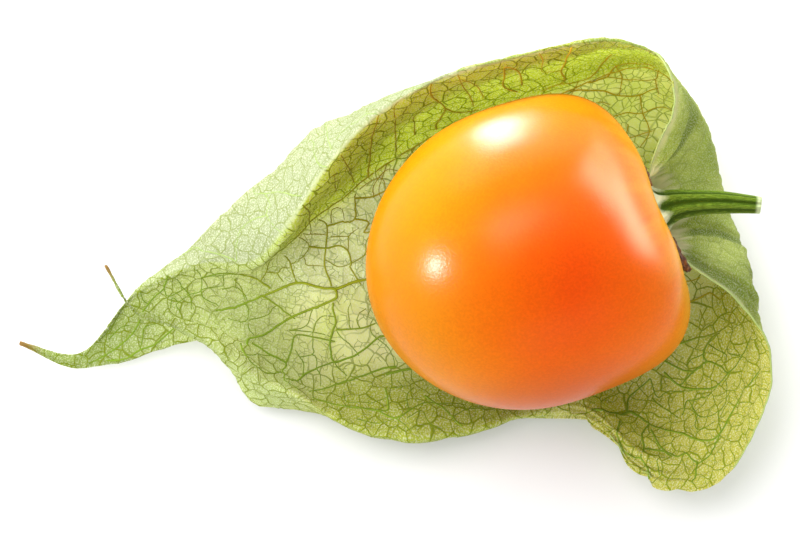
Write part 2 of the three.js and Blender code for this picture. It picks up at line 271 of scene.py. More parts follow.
# Where the leaf changes colour or its net does, as masks from 0 to 1 that its material reads.
band = smooth(0.92, 1.08, rib) * (1 - smooth(1.85, 2.15, rib))
band *= smooth(3.2, 4.2, station) * (1 - smooth(11.4, 13, station))
folded_over = 1 - smooth(0.9, 1.04, rib)
lobe_middle = 0.35 * smooth(1.2, 1.6, rib) * (1 - smooth(2, 4.6, rib))
rounded_edge = 0.2 + 0.35 * smooth(0.8, 1.6, station) * (1 - smooth(2.4, 3.4, station))
masks = {
    # Painted shade and glow: the wall under the fold is olive, as if shaded by the fold and lit through two
    # layers of leaf.
    "olive_band_shade_and_glow": band,
    # Painted shade: the band's lower part is darkened against the light that comes through it there.
    "band_foot_shade": band * smooth(1.3, 1.75, rib),
    "olive_rim": folded_over * smooth(1.8, 3, station) * (1 - smooth(6.8, 8.4, station)),
    "pale_flap": folded_over * smooth(7, 8.6, station) * (1 - smooth(14, 15.5, station)),
    # Painted light: the floor beside the berry is paler cream, as if lit through from behind.
    "cream_floor_backlight": smooth(1.9, 2.3, rib) * (1 - smooth(3.6, 4.6, rib)) * smooth(7, 9, station)
    * (1 - smooth(11.7, 12.6, station)),
    "green_lobe": smooth(10.8, 12.6, station) * (1 - lobe_middle),
    "green_tip": smooth(13.5, 15.5, station),
    "raised_net": smooth(9.5, 10.3, station) * (1 - smooth(13, 14, station)) * smooth(1.9, 2.2, rib)
    * (1 - smooth(5.4, 6, rib)),
    "close_net": smooth(0.8, 1.6, station) * (1 - smooth(5, 6, station)) * smooth(0.9, 1.3, rib)
    * (1 - smooth(4.5, 5.2, rib)),
    "olive_flap": smooth(5.2, 6.3, rib) * (1 - smooth(6.8, 8.4, station)),
    "low_band": smooth(5.7, 6.4, rib) * smooth(7, 8.5, station) * (1 - smooth(11.2, 12.6, station)),
    "dry_tip": smooth(16.55, 17, station),
    # Partly the pale rolled rim along the fold, partly a painted highlight on its crest.
    "fold_rim_and_highlight": 0.8 * np.exp(-((rib - 0.97) / 0.045) ** 2) * smooth(5, 7, station)
    * (1 - smooth(11.8, 12.6, station)),
    # Painted shade: darker in the folds near the collar and in a band along the lower edge there.
    "crease_shade": np.maximum(smooth(0.08, 0.34, fold), 0.4 * smooth(6.2, 7.4, rib)) * smooth(0.4, 0.7, station)
    * (1 - smooth(1.5, 3, station)),
    "pale_root": 1 - smooth(0.28, 0.64, station + 0.35 * wrinkle - 0.12 * smooth(1, 4, np.abs(rib - 4))),
    "pale_edge": np.maximum(1 - smooth(0, rounded_edge, rib), smooth(LAST_RIB - 0.15, LAST_RIB, rib)),
}
for name, mask in masks.items():
    husk.data.attributes.new(name, "FLOAT", "POINT").data.foreach_set("value", mask)
husk.data.update()


def linear(hex_colour):
    """An sRGB hex colour as the linear colour that a node takes."""
    parts = [int(hex_colour[at:at + 2], 16) / 255 for at in (1, 3, 5)]
    return tuple(p / 12.92 if p <= 0.04045 else ((p + 0.055) / 1.055) ** 2.4 for p in parts) + (1,)


def node(tree, kind, settings=None, links=None, out=0):
    """Adds one node and gives its output. Settings are its properties or, by name, its inputs.

    A shader node's kind leaves out its first word, ShaderNode.
    """
    made = tree.nodes.new(kind if "Node" in kind else "ShaderNode" + kind)
    for name, value in (settings or {}).items():
        if isinstance(name, str) and hasattr(made, name):
            setattr(made, name, value)
        else:
            made.inputs[name].default_value = value
    for name, socket in (links or {}).items():
        tree.links.new(socket, made.inputs[name])
    return made.outputs[out] if made.outputs else None


# The inputs and output of a Mix node that mixes colours.
MIX_FACTOR, MIX_A, MIX_B, MIX_COLOUR = 0, 6, 7, 2


def new_material(name):
    """An empty node material, and its tree."""
    material = bpy.data.materials.new(name)
    material.use_nodes = True
    material.node_tree.nodes.clear()
    return material, material.node_tree


def lay_tints(tree, colour, tints):
    """Lays tints over a colour in turn. Each has its amount, or a mask's name, and a hex colour."""
    for amount, tint in tints:
        if isinstance(amount, str):
            amount = node(tree, "Attribute", {"attribute_name": amount}, out="Fac")
        colour = node(tree, "Mix", {"data_type": "RGBA", MIX_B: linear(tint)},
                      {MIX_FACTOR: amount, MIX_A: colour}, out=MIX_COLOUR)
    return colour


# The net of veins: meshes of about 1 mm and finer ones of 0.5 mm within them, each with the half
# width of its veins in mm.
NETS = [(1.1, 0.046), (0.5, 0.026)]
# The nets wander this far, in mm, in bends about 1.7 mm across.
NET_WANDER = 1.2
BENDS_PER_MM = 0.6


def vein_nets(tree, place):
    """For each net, how far a place on the map, in mm, is from a vein, and how much it is one."""
    wander = node(tree, "TexNoise", {"Scale": BENDS_PER_MM, "Detail": 1.0, "Roughness": 0.4},
                  {"Vector": place}, out="Color")
    centred = node(tree, "VectorMath", {"operation": "SUBTRACT", 1: (0.5, 0.5, 0.5)}, {0: wander})
    spread = node(tree, "VectorMath", {"operation": "SCALE", "Scale": NET_WANDER}, {0: centred})
    moved = node(tree, "VectorMath", {"operation": "ADD"}, {0: place, 1: spread})
    nets = []
    for mesh_size, half_width in NETS:
        cells = node(tree, "TexVoronoi",
                     {"voronoi_dimensions": "2D", "feature": "DISTANCE_TO_EDGE", "Scale": 1 / mesh_size,
                      "Randomness": 0.85},
                     {"Vector": moved})
        vein = node(tree, "MapRange",
                    {"interpolation_type": "SMOOTHSTEP", "From Min": 0.4 * half_width / mesh_size,
                     "From Max": 1.5 * half_width / mesh_size, "To Min": 1.0, "To Max": 0.0},
                    {"Value": cells})
        nets.append((cells, vein))
    return nets


# The leaf stands out between its veins in low pillows, towards the husk's outside.
PILLOW_HEIGHT = 0.06
relief = bpy.data.node_groups.new("leaf_relief", "GeometryNodeTree")
for way in ("INPUT", "OUTPUT"):
    relief.interface.new_socket("Geometry", in_out=way, socket_type="NodeSocketGeometry")
incoming = node(relief, "NodeGroupInput")
map_place = node(relief, "GeometryNodeInputNamedAttribute",
                 {"data_type": "FLOAT_VECTOR", "Name": "vein_map"})
(wide, _), _ = vein_nets(relief, map_place)
pillow = node(relief, "MapRange", {"interpolation_type": "SMOOTHSTEP", "From Max": 0.3,
                                   "To Max": -PILLOW_HEIGHT * MM}, {"Value": wide})
facing = node(relief, "GeometryNodeInputNormal")
offset = node(relief, "VectorMath", {"operation": "SCALE"}, {0: facing, "Scale": pillow})
lifted = node(relief, "GeometryNodeSetPosition", None, {"Geometry": incoming, "Offset": offset})
node(relief, "NodeGroupOutput", None, {0: lifted})
husk.modifiers.new("relief", "NODES").node_group = relief
apply_all(husk)
leaf = places(husk.data)
leaf[:, 2] = np.maximum(leaf[:, 2], HUSK_THICKNESS / 2 * MM)
husk.data.vertices.foreach_set("co", leaf.ravel())


# How many of each pattern's marks there are to a mm of leaf, and how deep its grain is, in mm.
PATCHES_PER_MM = 0.3
GRAINS_PER_MM = 9.0
FREE_ENDS_PER_MM = 1.1
LEAF_GRAIN_DEPTH = 0.04


def leaf_material(name, paper, patch, vein, translucency, vein_strength, speckle_strength, layers, covers):
    """Dry papery leaf: matt, with light shining through, a darker net of veins and pale grains."""
    material, tree = new_material(name)
    place = node(tree, "Attribute", {"attribute_name": "vein_map"}, out="Vector")
    cream, close, raised, flap = (
        node(tree, "Attribute", {"attribute_name": mask}, out="Fac")
        for mask in ("cream_floor_backlight", "close_net", "raised_net", "pale_flap"))
    (_, wide_net), (_, fine_net) = vein_nets(tree, place)
    # Broad patches, 3 to 5 mm across, are greener or drier.
    broad = node(tree, "TexNoise", {"Scale": PATCHES_PER_MM, "Detail": 2.0}, {"Vector": place})
    broad = node(tree, "MapRange", {"From Min": 0.38, "From Max": 0.62}, {"Value": broad})
    colour = node(tree, "Mix", {"data_type": "RGBA", MIX_A: linear(paper), MIX_B: linear(patch)},
                  {MIX_FACTOR: broad}, out=MIX_COLOUR)
    colour = lay_tints(tree, colour, layers)
    # The leaf's cells show as pale grains about 0.1 mm across.
    grain = node(tree, "TexNoise", {"Scale": GRAINS_PER_MM, "Detail": 1.0}, {"Vector": place})
    grain = node(tree, "MapRange", {"From Min": 0.47, "From Max": 0.64, "To Max": speckle_strength},
                 {"Value": grain})
    # Where the floor is painted paler, as if lit from behind, the grains show more.
    more = node(tree, "MapRange", {"To Min": 1.0, "To Max": 1.8}, {"Value": cream})
    grain = node(tree, "Math", {"operation": "MULTIPLY"}, {0: grain, 1: more})
    colour = lay_tints(tree, colour, [(grain, "#FDFEF0")])
    # The finest veins end freely: they show only in places.
    ends = node(tree, "TexNoise", {"Scale": FREE_ENDS_PER_MM, "Detail": 0.0}, {"Vector": place})
    ends = node(tree, "MapRange", {"From Min": 0.47, "From Max": 0.53}, {"Value": ends})
    # On the wall behind the stem end they join up, and the wide net fades.
    ends = node(tree, "Math", {"operation": "MAXIMUM"}, {0: ends, 1: close})
    finest = node(tree, "Math", {"operation": "MULTIPLY"}, {0: fine_net, 1: ends})
    finest = node(tree, "Math", {"operation": "MULTIPLY", 1: vein_strength[1]}, {0: finest})
    # Where the wide net is raised, cords of its own stand for it.
    raised = node(tree, "Math", {"operation": "MAXIMUM"}, {0: raised, 1: close})
    flat = node(tree, "MapRange", {"To Min": vein_strength[0], "To Max": vein_strength[0] * 0.4},
                {"Value": raised})
    netted = node(tree, "Math", {"operation": "MULTIPLY"}, {0: wide_net, 1: flat})
    line = node(tree, "Math", {"operation": "MAXIMUM"}, {0: netted, 1: finest})
    # On the pale flap they are faint.
    faint = node(tree, "MapRange", {"To Min": 1.0, "To Max": 0.62}, {"Value": flap})
    line = node(tree, "Math", {"operation": "MULTIPLY"}, {0: line, 1: faint})
    # Down, rolled edges, a painted highlight along the fold and dried tissue cover the net.
    colour = lay_tints(tree, colour, [(line, vein), *covers])
    height = node(tree, "Math", {"operation": "MULTIPLY_ADD", 1: 0.25}, {0: grain, 2: line})
    bump = node(tree, "Bump", {"Strength": 0.4, "Distance": LEAF_GRAIN_DEPTH * MM}, {"Height": height})
    surface = node(tree, "BsdfPrincipled", {"Roughness": 0.65, "IOR": 1.25},
                   {"Base Color": colour, "Normal": bump})
    through = node(tree, "BsdfTranslucent", None, {"Color": colour, "Normal": bump})
    both = node(tree, "MixShader", {0: translucency}, {1: surface, 2: through})
    node(tree, "OutputMaterial", None, {0: both})
    return material


# Each side: its paper, patches and veins, how much light comes through, how strong its two nets
# and its grain show, and the tints under and over the net.
# On the inside, the band and band-foot tints are painted shade and glow, the cream floor tint is painted
# light, and the fold line is partly a painted highlight.
husk.data.materials.append(leaf_material(
    "dry_leaf_inside", "#F8F6BE", "#E8EE8E", "#869600", 0.57, (0.88, 0.68), 0.5,
    [("cream_floor_backlight", "#EAEEB8"), ("green_lobe", "#C4D07C"), ("green_tip", "#A2B25C"),
     ("olive_band_shade_and_glow", "#DEF058"), ("band_foot_shade", "#CCD440"), ("pale_flap", "#B4BC90"),
     ("olive_rim", "#BCC444"), ("olive_flap", "#C6C24C"), ("low_band", "#B8C044")],
    [("fold_rim_and_highlight", "#DCE2BC"), ("dry_tip", "#A88850")]))
# On the outside, the crease tint is painted shade in the folds near the collar.
husk.data.materials.append(leaf_material(
    "dry_leaf_outside", "#BECE6C", "#A4B64E", "#7E9636", 0.57, (0.3, 0.15), 0.3,
    [("crease_shade", "#869A40"), ("green_lobe", "#98A84A"), ("pale_flap", "#B2BC88")],
    [("pale_edge", "#D2D4A8"), ("pale_root", "#E4E2C0"), ("dry_tip", "#A88850")]))

# ------------------------------------------------------------
# Veins. The husk's strong veins and its rolled edges are round cords of the same dry leaf, half
# sunk in it. They are laid on the middle of the leaf, by rib and station, before it gets its
# thickness.
bpy.context.view_layer.update()
VEIN_STEPS = 10


def lay_on_husk(name, routes, material):
    """Round cords of leaf, half sunk in it, along routes of (rib, station); radii in mm."""
    data = bpy.data.curves.new(name, "CURVE")
    data.dimensions = "3D"
    data.bevel_depth = MM
    data.bevel_resolution = 1
    data.use_fill_caps = True
    for first_radius, last_radius, route in routes:
        route = np.array(route, float)
        steps = np.linspace(0, len(route) - 1, (len(route) - 1) * VEIN_STEPS + 1)
        through = np.clip(on_curve(route, steps), 0, (LAST_RIB, LAST_STATION))
        spline = data.splines.new("POLY")
        spline.points.add(len(steps) - 1)
        for point, place, part in zip(spline.points, husk_point(*through.T), steps / steps[-1]):
            _, spot, _, _ = husk.closest_point_on_mesh(Vector(place) * MM)
            point.co = (*spot, 1)
            point.radius = first_radius + (last_radius - first_radius) * part
    piece = bpy.data.objects.new(name, data)
    bpy.context.collection.objects.link(piece)
    bpy.ops.object.select_all(action="DESELECT")
    piece.select_set(True)
    bpy.context.view_layer.objects.active = piece
    bpy.ops.object.convert(target="MESH")
    bpy.ops.object.shade_smooth()
    piece = bpy.context.object
    piece.data.materials.append(material)
    return piece


# From where to where along X, in mm, the veins' shades run, and how far they drift.
SHADES_FROM, SHADES_TO, SHADE_DRIFT = 14, -6, 12
# The veins are all of the last shade from here down, along Y in mm.
GREEN_SIDE = -5


def vein_material(name, shades):
    """Leaf vein: denser than the leaf, so it looks darker, and greener from the stem to the tips."""
    material, tree = new_material(name)
    place = node(tree, "TexCoord", out="Object")
    along = node(tree, "SeparateXYZ", None, {0: place}, out="X")
    drift = node(tree, "TexNoise", {"Scale": PATCHES_PER_MM / MM, "Detail": 3.0}, {"Vector": place})
    shifted = node(tree, "Math", {"operation": "MULTIPLY_ADD", 1: SHADE_DRIFT * MM},
                   {0: drift, 2: along})
    drift = node(tree, "MapRange", {"From Min": SHADES_FROM * MM, "From Max": SHADES_TO * MM},
                 {"Value": shifted})
    shade = node(tree, "ValToRGB", None, {0: drift})
    ramp = shade.node.color_ramp
    ramp.elements[0].color = linear(shades[0])
    ramp.elements[1].color = linear(shades[2])
    ramp.elements.new(0.5).color = linear(shades[1])
    # They stayed greener on the lower side.
    sideways = node(tree, "SeparateXYZ", None, {0: place}, out="Y")
    low = node(tree, "MapRange", {"From Max": GREEN_SIDE * MM}, {"Value": sideways})
    colour = lay_tints(tree, shade, [(low, shades[2])])
    surface = node(tree, "BsdfPrincipled", {"Roughness": 0.6, "IOR": 1.3}, {"Base Color": colour})
    node(tree, "OutputMaterial", None, {0: surface})
    return material


# The strong veins that run with the ribs, each with its radius at the start and at the end.
main_veins = [
    (0.07, 0.08, [(2, 2.2), (2, 4), (2.1, 6), (2, 8), (2, 10), (2, 11), (2, 12), (2, 13)]),
    (0.05, 0.08, [(3, 2), (2.9, 3), (2.8, 3.8), (2.9, 4.4), (2.8, 4.9), (2.9, 6), (3, 8), (3, 10.1),
                  (2.8, 10.2), (2.6, 10.5)]),
    (0.05, 0.115, [(4, 2), (4, 2.6), (4, 4), (4, 6), (4, 8), (3.9, 10.1), (4.1, 10.8)]),
    (0.115, 0.08, [(4.1, 10.8), (4, 11.2), (3.8, 11.7), (4, 12.2), (4.1, 12.9), (4.2, 13.4)]),
    (0.11, 0.085, [(4.1, 10.8), (4.4, 10.7), (4.7, 11.2), (4.9, 11.7), (5.1, 12.2), (5.2, 12.7),
                   (5.6, 13)]),
    (0.09, 0.08, [(4.5, 10.7), (5, 10.6), (5.3, 10.9), (5.5, 11.1), (5.7, 11.2), (5.7, 10.9), (5.6, 10.5),
                  (5.4, 10)]),
    (0.05, 0.08, [(5, 2), (5, 2.6), (5, 4), (5.1, 6), (5.2, 8), (5.4, 10)]),
    (0.05, 0.1, [(6.6, 2.2), (6.6, 3.1), (6.4, 3.5), (6.1, 4), (5.9, 4.5), (5.6, 6), (5.8, 8),
                 (6.1, 10.4)]),
    (0.09, 0.07, [(6, 10.2), (6, 10.5), (6.1, 11), (6.1, 11.7), (6.2, 12)]),
    (0.06, 0.08, [(7, 2.2), (7, 3), (7, 3.2), (6.9, 3.5), (6.7, 3.9), (6.6, 4.2), (6.4, 4.6), (6.2, 5),
                  (6, 5.2)]),
    (0.07, 0.09, [(7.5, 3.5), (7.2, 3.9), (7.1, 4.2), (7.1, 4.6), (6.9, 4.9), (6.7, 5.2), (6.6, 5.5),
                  (6.5, 5.8), (6.4, 6), (6.4, 6.2), (6.7, 6.6), (7, 6.9)]),
    (0.07, 0.08, [(4.5, 15.8), (4.5, 15.4), (4.4, 15.1), (4.2, 14.9), (3.8, 14.8)]),
    (0.07, 0.07, [(1.9, 6.4), (1.9, 6), (2, 5.5), (1.9, 5.2), (1.5, 4.9)]),
]
side_veins = [
    # The floor of the leaf beside the berry.
    [(3.8, 11.7), (2.8, 11.9), (2.4, 12.1)],
    [(4, 10.9), (3.4, 11.1), (2.9, 11.1), (2.4, 11.1), (2.1, 11.3)],
    [(2.4, 11.1), (2.5, 10.8), (2.6, 10.5), (2.2, 10.5), (2.1, 10.5)],
    [(2.2, 10.5), (2.4, 10.1), (2.45, 9.7)],
    [(2.6, 11.5), (2.9, 11.1), (3, 10.8), (3.2, 10.6), (3.5, 10.5), (3.6, 10.5), (4, 10.2)],
    [(3.8, 12.3), (3.1, 12.6), (2.5, 13), (2, 13.4), (2.2, 13.9)],
    [(6.1, 13.6), (6.5, 13.4), (6.5, 12.9), (6, 12.6)],
    [(5.3, 12.7), (5.5, 12.5), (5.6, 12.2), (5.9, 12.5), (6.3, 12.5), (6.5, 12.2)],
    [(5.6, 12.2), (5.4, 11.9), (5.2, 11.6), (5.3, 11.2), (5.4, 10.9)],
    [(6.2, 12.5), (5.8, 12), (5.7, 11.6), (5.7, 11.2)], [(5.2, 10.7), (5.2, 10.2), (5.1, 9.8)],
    [(4, 12.5), (4.5, 12), (4.9, 11.5)],
    # The lobe with the long tip.
    [(1, 14.5), (2.1, 14.5), (2.5, 14.6), (2.9, 14.7), (3.4, 14.8)],
    [(4.8, 15.4), (4.9, 15), (4.8, 14.7), (4.8, 14.4), (4.5, 14.1)],
    # The flap below the stem.
    [(5.6, 4.1), (5.8, 3.6), (6.1, 3.4), (6.2, 3.1)],
    [(5.9, 5.1), (6.1, 4.8), (6.2, 4.6), (6.2, 4.7), (6.2, 5)],
    [(6.2, 4.6), (6.3, 4.2), (6.5, 4), (6.7, 3.9)], [(6.3, 4.2), (6.2, 4.2), (6.2, 3.9), (6.3, 3.7)],
    [(6.5, 5.8), (6.7, 6), (6.9, 6), (7.2, 6.1), (7.4, 6), (7.8, 6)],
    [(6.6, 5.8), (6.8, 5.7), (6.9, 5.6), (7, 5.5)],
    [(6.9, 6), (6.9, 5.6), (7, 5.4), (7, 5.2), (7.2, 5.1), (7.2, 4.8), (7.1, 4.5)],
    [(7.2, 5.1), (7.5, 5.2), (7.7, 5.3)], [(6.7, 6.4), (7.2, 6.5), (7.5, 6.4), (7.2, 6.1)],
    [(6.4, 6.2), (6.2, 6.1), (6.1, 5.9), (6, 5.5)],
    # The wrinkled band along the lower edge.
    [(6.5, 11.9), (6.6, 11.2), (6.6, 10.7), (6.6, 10.3), (6.5, 10.3), (6.3, 10.4)],
    [(6.6, 10.7), (6.6, 10.5), (6.7, 10.1), (6.6, 9.9), (6.5, 9.7), (6.5, 9.4)],
    [(6.4, 9.7), (6.5, 9.5), (6.6, 9.3), (6.9, 9)],
    # The band between the folded flap and the floor, and the wall behind the berry.
    [(2, 10.2), (1.5, 10.1), (1, 9.9)], [(1.9, 8.7), (1.8, 8.7), (1.6, 8.5), (1.3, 8.8), (1, 8.8)],
    [(1.6, 8.5), (1.8, 8.1), (1.9, 7.7)],
    [(1.8, 6.9), (1.6, 7.2), (1.4, 7.2), (1.2, 7.2), (1.4, 6.9), (1.7, 6.8)],
    [(1, 5.8), (1.4, 5.9), (1.6, 6), (1.8, 5.9), (1.9, 6)], [(2, 11.5), (1.5, 11.5), (1, 11.6)],
    [(2.1, 5.4), (2.1, 5), (1.9, 4.8), (1.9, 4.5), (1.9, 3.9)],
    [(2.1, 5.8), (2.3, 5.2), (2.5, 4.8), (2.6, 4.4), (2.5, 4)],
]
fine_veins = [
    [(2.8, 11.9), (2.8, 11.6), (2.6, 11.5), (2.4, 11.6), (2.1, 11.8)],
    [(2.8, 11.6), (3.1, 11.5), (3.4, 11.1)], [(3.2, 11.1), (3.5, 10.8), (3.5, 10.5)],
    [(3.5, 10.5), (3.4, 10.2), (3.2, 10.2), (3, 10.1)],
    [(3.2, 10.6), (3, 10.6), (2.9, 10.6), (2.8, 10.4)], [(2.7, 11), (2.9, 10.6)],
    [(2.3, 11.5), (2.6, 11.1)], [(2.1, 11.7), (2.3, 11.5), (2, 11.5)],
    [(2.4, 11), (2.1, 11), (2.2, 10.8), (2.5, 10.7)], [(2.4, 10.1), (2.2, 10.1), (2.1, 9.8), (2.3, 9.5)],
    [(2.1, 10.4), (2.1, 10.1), (2.2, 9.9), (2.5, 9.8)],
    [(3.1, 12.6), (2.7, 12.5), (2.3, 12.5), (2.2, 12.4)],
    [(2.7, 12.5), (2.9, 12.2), (2.8, 12.1), (2.9, 11.9)], [(2.9, 12.2), (3.6, 12)],
    [(3.9, 12.9), (3.3, 13), (2.7, 13.2)], [(4, 12.9), (4.4, 12.7), (4.7, 12.7), (4.5, 13.1)],
    [(4.7, 12.6), (4.7, 12.2), (4.5, 12)], [(4.8, 12.6), (5.1, 12.5)],
    [(5.5, 11.8), (5.5, 11.5), (5.4, 11.4), (5.2, 11.2)],
    [(5.8, 12), (5.6, 11.8), (5.5, 11.8), (5.4, 11.8)], [(5.7, 11.6), (5.8, 11.6), (6, 11.7)],
    [(5.5, 11.5), (5.6, 11.5), (5.7, 11.6)], [(5.2, 10.2), (4.9, 10.1), (4.7, 9.9)],
    [(5.2, 10.7), (5.5, 10.7), (5.7, 10.7)], [(5.2, 11.2), (4.9, 10.9), (4.9, 10.6)],
    [(5.1, 11.7), (5.2, 11.2), (5.3, 10.9)], [(4.7, 11.1), (5, 11.2), (5.1, 11.4), (5.1, 11.7)],
    [(5.2, 10.4), (4.9, 10.3), (4.5, 10.3)], [(2.9, 14.7), (2.4, 14.8), (1.2, 14.9)],
    [(2.1, 14.5), (2.8, 14.4), (2.8, 14.2), (2.5, 14.2), (1.4, 14.4)],
    [(2.5, 14.2), (3.2, 14), (4, 13.9)], [(3.2, 14), (3.1, 13.8), (2.2, 13.9), (1.2, 14.1)],
    [(2.2, 13.9), (2.2, 13.6), (2.1, 13.3), (2.5, 12.9)], [(3.1, 13.8), (3.6, 13.7), (4, 13.4)],
    [(3.1, 13.8), (3, 13.7), (3, 13.4), (2.2, 13.5)], [(3.2, 13.4), (3.2, 13.1), (4, 12.8)],
    [(2.5, 13.2), (3.3, 13.1)], [(3.4, 14.2), (3.1, 14.3), (3.7, 14.3)],
    [(4, 14.1), (3.6, 14.2), (3.2, 14)], [(4.8, 14.7), (4.5, 14.7), (4.2, 14.7), (4.2, 14.5)],
    [(2.1, 15.6), (2.4, 15.4), (1.8, 15.2), (1.3, 15.2)], [(3.6, 15.4), (3.5, 15.2), (3.8, 15)],
    [(6.6, 13.5), (5.8, 13), (5.5, 12.4)], [(5.4, 4), (5.5, 3.7)], [(5.8, 3.9), (6, 3.9), (6, 4)],
    [(6.4, 3.5), (6.4, 3.2), (6.4, 3.1)], [(6.2, 4.2), (6.1, 4.5), (6.1, 4.7)],
    [(6.2, 4), (6.5, 3.8), (6.6, 3.8), (6.5, 4)], [(6.5, 3.7), (6.6, 3.7), (6.9, 3.5)],
    [(6.4, 3.5), (6.5, 3.5), (6.5, 3.8)], [(6.6, 3.2), (6.7, 3.2), (6.9, 3)],
    [(6.2, 5.6), (6.3, 5.5), (6.5, 5.2)], [(6, 5.5), (6.2, 5.5), (6.2, 5.2), (6.4, 4.6)],
    [(6.4, 4.9), (6.5, 4.6), (6.6, 4.2)],
    [(6.5, 5.1), (6.4, 4.9), (6.6, 4.8), (6.8, 4.5), (6.9, 4.2), (6.7, 4)],
    [(6.6, 4.8), (6.7, 4.9), (6.8, 4.8), (6.9, 4.5)], [(7.1, 4.5), (6.9, 4.4), (6.9, 4.3)],
    [(7.5, 5.8), (7.1, 5.8), (7, 5.6)], [(5.7, 11.2), (5.8, 11.2), (6, 11.1)],
    [(6.8, 10.8), (6.8, 10.4), (6.7, 10.1)], [(6.7, 9.2), (6.6, 9), (6.6, 8.8), (6.7, 8.6)],
    [(6.5, 9.4), (6.5, 9.1), (6.6, 9)], [(6.6, 9.9), (6.4, 10), (6.3, 9.9)],
    [(6.7, 10.1), (6.8, 9.9), (6.9, 9.8)], [(6.7, 9.9), (6.6, 9.7), (6.7, 9.6), (6.8, 9.5), (6.9, 9.3)],
    [(6.3, 11.2), (6.5, 11.1), (6.5, 10.7), (6.5, 10.6), (6.4, 10.3)],
    [(6.3, 10.3), (6.3, 10.1), (6.2, 10.2)], [(1.9, 9.6), (1.6, 9.6), (1.1, 9.6), (1, 9.5)],
    [(1.8, 9.2), (1.6, 9.2), (1.5, 9.2), (1.4, 8.8)], [(1, 8.2), (1.3, 8.1), (1.6, 7.9), (1.8, 7.8)],
    [(1.2, 8.1), (1.4, 7.8), (1.7, 7.6)], [(1, 6.5), (1.3, 6.4), (1.5, 6.4), (1.6, 6)],
    [(1.9, 10.5), (1.5, 10.6), (1.1, 10.7)], [(1.7, 10.9), (1.3, 10.9)],
    [(2.1, 5), (2.3, 4.5), (2.3, 4), (1.9, 3.8)], [(2.6, 4.4), (2.9, 4.4)],
    [(2.5, 5.4), (2.5, 5.2), (2.6, 5)], [(2.9, 4.4), (3.2, 4.3), (3.4, 4.5)],
    [(3, 4.7), (3.2, 4.7), (3.2, 4.2)], [(1.9, 4.8), (2.2, 4.7), (2.5, 4.8)], [(2.3, 4), (2.6, 4)],
]
side_veins = [(0.082, 0.068, route) for route in side_veins]
side_veins += [(0.06, 0.052, route) for route in fine_veins]
# Under the berry, where the ribs run side by side, crooked cross veins join them.
crooked = np.random.default_rng(21)
for left in range(2, 6):
    for at in np.arange(5.6, 9.8, 0.6):
        a, b, c = crooked.uniform(-0.25, 0.25, 3)
        route = [(left, at), (left + 0.33, at + 0.1 + a), (left + 0.66, at + 0.1 + b),
                 (left + 1, at + 0.3 + c)]
        side_veins.append((0.055, 0.05, route))

veins = lay_on_husk("husk_veins", main_veins + side_veins,
                    vein_material("leaf_vein", ("#C4B230", "#8E8C16", "#6E8820")))
flap_routes = [
    [(0.8, 11.6), (0.4, 12), (0.2, 12.4), (0.1, 12.6), (0, 12.6)],
    [(0.5, 12.4), (0.4, 12.7), (0.4, 13), (0.6, 13.2), (0.9, 13.3)],
    [(1, 12.1), (0.5, 12.4), (0.4, 12.3), (0.2, 12.4)], [(1, 11), (0.6, 11.2), (0.2, 11.2), (0, 11.5)],
    [(0.7, 10.9), (0.3, 10.9), (0, 10.9)], [(1, 9.9), (0.6, 10.1), (0.3, 10), (0, 10.3)],
    [(0.6, 10.1), (0.5, 10.5), (0.6, 10.9)], [(1, 9), (0.6, 9.2), (0.3, 9.1), (0, 9.4)],
    [(1, 8), (0.5, 8.3), (0, 8.4)], [(1, 7), (0.5, 7.2), (0, 7.4)], [(0.6, 9.2), (0.5, 9.6), (0.6, 10.1)],
    [(0.9, 13.3), (0.5, 13.8), (0.2, 13.9), (0, 14.2)],
]
flap_routes = [(0.062, 0.05, route) for route in flap_routes]
flap_veins = lay_on_husk("husk_flap_veins", flap_routes,
                         vein_material("pale_leaf_vein", ("#8CA058", "#8CA058", "#8CA058")))
rim_routes = [
    (0.06, 0.05, [(0, 0.2), (0, 1), (0, 2), (0, 3), (0, 4), (0, 6), (0, 8), (0, 9.5)]),
    (0.075, 0.05, [(8, 0.2), (8, 1), (8, 2), (8, 3), (8, 4), (8, 4.7)]),
]
rims = lay_on_husk("husk_rolled_edges", rim_routes,
                   vein_material("pale_rolled_edge", ("#9FB06C", "#98A85E", "#98A85E")))

bpy.ops.object.select_all(action="DESELECT")
wall = husk.modifiers.new("thickness", "SOLIDIFY")
wall.thickness = HUSK_THICKNESS * MM
wall.offset = 0
wall.material_offset = 1
apply_all(husk)
husk.select_set(True)
bpy.ops.object.shade_smooth()
for piece in (husk, veins, flap_veins, rims):
    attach(piece, "root")
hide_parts("husk")

# ------------------------------------------------------------
# Berry. One fleshy round fruit with a smooth waxy skin, broad shoulders round the dimple that it
# hangs by, and a blunt far end. It sits loose in the husk, held only at the collar.
BERRY_CENTRE = (7.95, 0.5, 9.9)
BERRY_RADIUS = 9.35
BERRY_AXIS_TURN = math.radians(20)
# Swellings of the skin: height in mm, angle from the stem and width, in degrees.
SWELLINGS = [(1.3, 48, 24), (0.5, 180, 40), (-1.7, 0, 17)]
bpy.ops.object.select_all(action="DESELECT")
bpy.ops.mesh.primitive_uv_sphere_add(segments=180, ring_count=110, radius=1)
berry = bpy.context.object
berry.name = berry.data.name = "berry_fruit"
skin = places(berry.data)
angle = np.degrees(np.arccos(np.clip(skin[:, 2], -1, 1)))
around = np.arctan2(skin[:, 1], skin[:, 0])
reach = np.full(len(skin), BERRY_RADIUS)
for height, middle, width in SWELLINGS:
    reach += height * np.exp(-((angle - middle) / width) ** 2)
